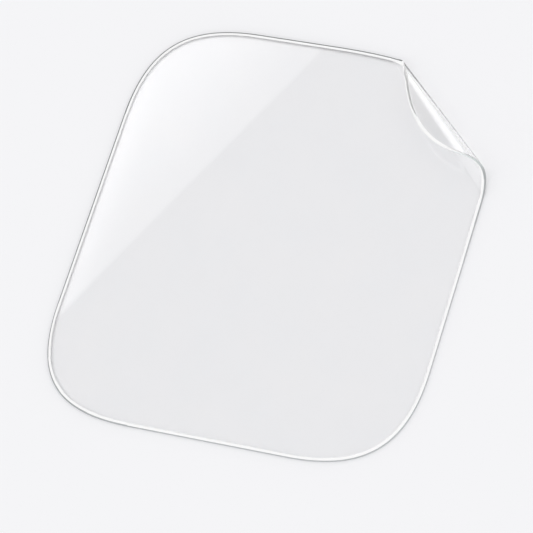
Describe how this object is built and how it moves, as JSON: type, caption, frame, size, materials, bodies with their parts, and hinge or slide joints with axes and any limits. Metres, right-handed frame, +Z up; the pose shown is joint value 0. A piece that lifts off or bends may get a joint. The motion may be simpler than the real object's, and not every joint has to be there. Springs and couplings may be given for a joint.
{
  "type": "smartwatch screen protector",
  "caption": "Clear flexible film for a rectangular watch face: a softly rounded rectangle with a rounded front edge and one corner peeled and rolled back over the front.",
  "frame": {"origin": "middle of the film's outline, on the underside that is stuck to the watch", "axes": "+X across the film, +Y along its longer side, both towards the peeled corner, +Z up out of the front face"},
  "size_m": [0.034, 0.0384, 0.0023],
  "materials": {
    "clear_film": "clear gloss"
  },
  "bodies": {
    "root": {"protector_film": "clear_film"}
  },
  "joints": []
}
